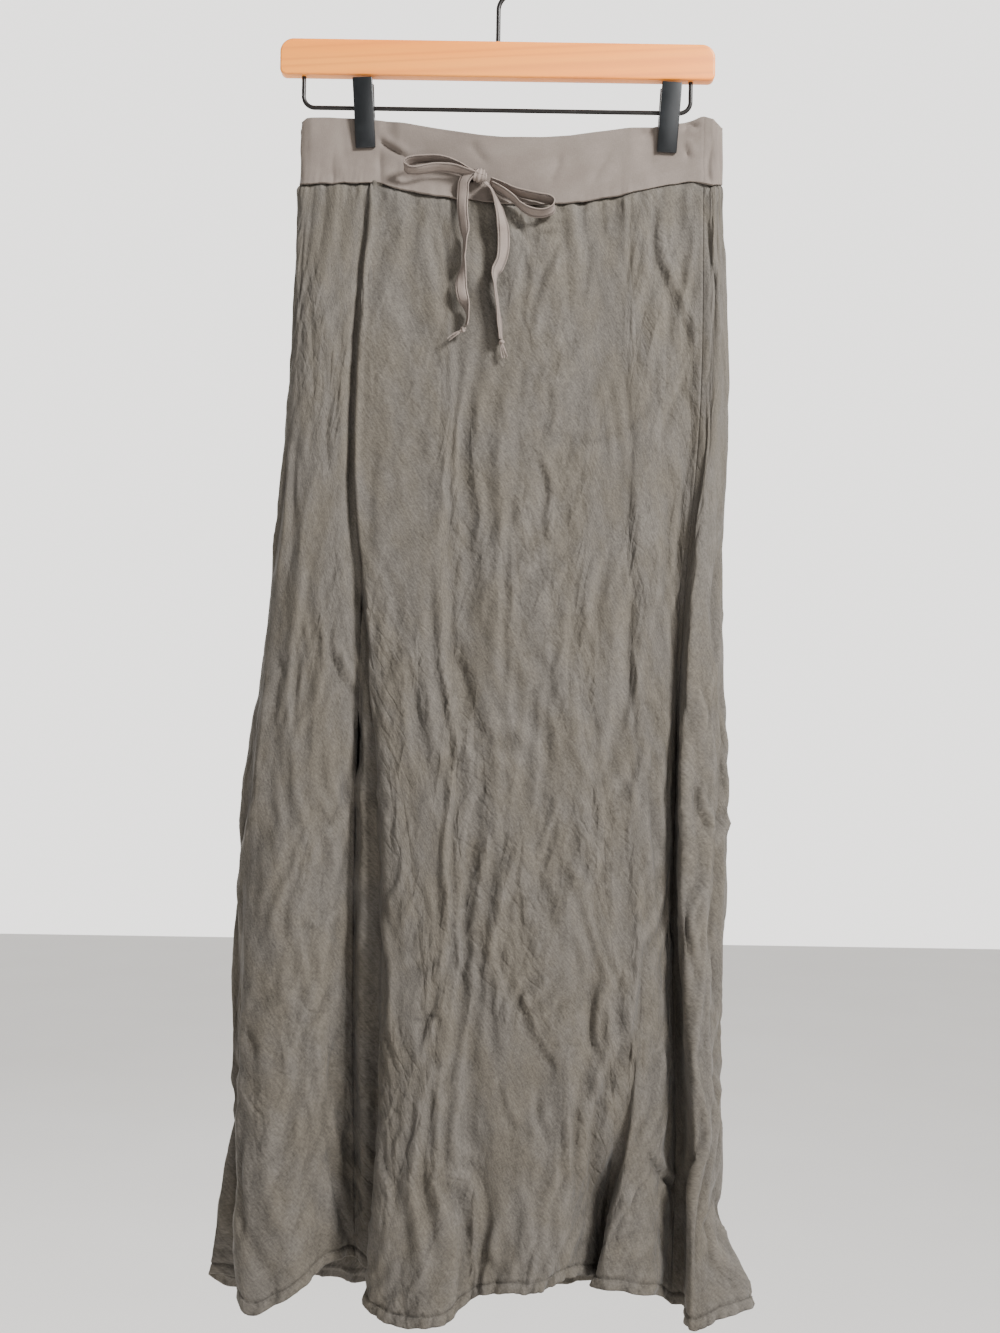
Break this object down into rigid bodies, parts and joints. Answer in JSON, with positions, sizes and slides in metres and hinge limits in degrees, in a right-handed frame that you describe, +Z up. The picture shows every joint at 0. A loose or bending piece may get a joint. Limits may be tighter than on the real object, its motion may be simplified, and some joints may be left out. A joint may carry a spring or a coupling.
{
  "type": "maxi skirt on a clip hanger",
  "caption": "Long gathered skirt with a plain deep waistband and a tied tape drawstring, hung by its waist from a wooden bar hanger with a wire rail and sprung clips.",
  "frame": {"origin": "the top of the hook's inside, where it hangs on a rod", "axes": "+Z up, -Y out of the skirt's front, +X to the right as the front is seen"},
  "size_m": [0.4462, 0.0949, 1.1016],
  "materials": {
    "skirt_cloth": "washed, crinkled linen-like weave, matt",
    "band_cloth": "smoother close plain weave, matt",
    "tape": "soft stitched cloth tape, matt",
    "bar_wood": "pale, fine grained, lightly lacquered",
    "hanger_wire": "black coated steel wire",
    "clip_plastic": "satin black"
  },
  "bodies": {
    "root": {"skirt_front_panel": "skirt_cloth", "skirt_back_panel": "skirt_cloth", "waistband_front": "band_cloth", "waistband_back": "band_cloth", "drawstring_knot": "tape", "drawstring_loop_left": "tape", "drawstring_loop_right": "tape", "drawstring_tail_left": "tape", "drawstring_tail_right": "tape", "drawstring_tip_left": "tape", "drawstring_tip_right": "tape", "hanger_bar": "bar_wood", "hanger_hook": "hanger_wire", "hanger_rail": "hanger_wire", "clip_left_front_jaw": "clip_plastic", "clip_left_back_jaw": "clip_plastic", "clip_left_spring": "hanger_wire", "clip_right_front_jaw": "clip_plastic", "clip_right_back_jaw": "clip_plastic", "clip_right_spring": "hanger_wire"}
  },
  "joints": []
}
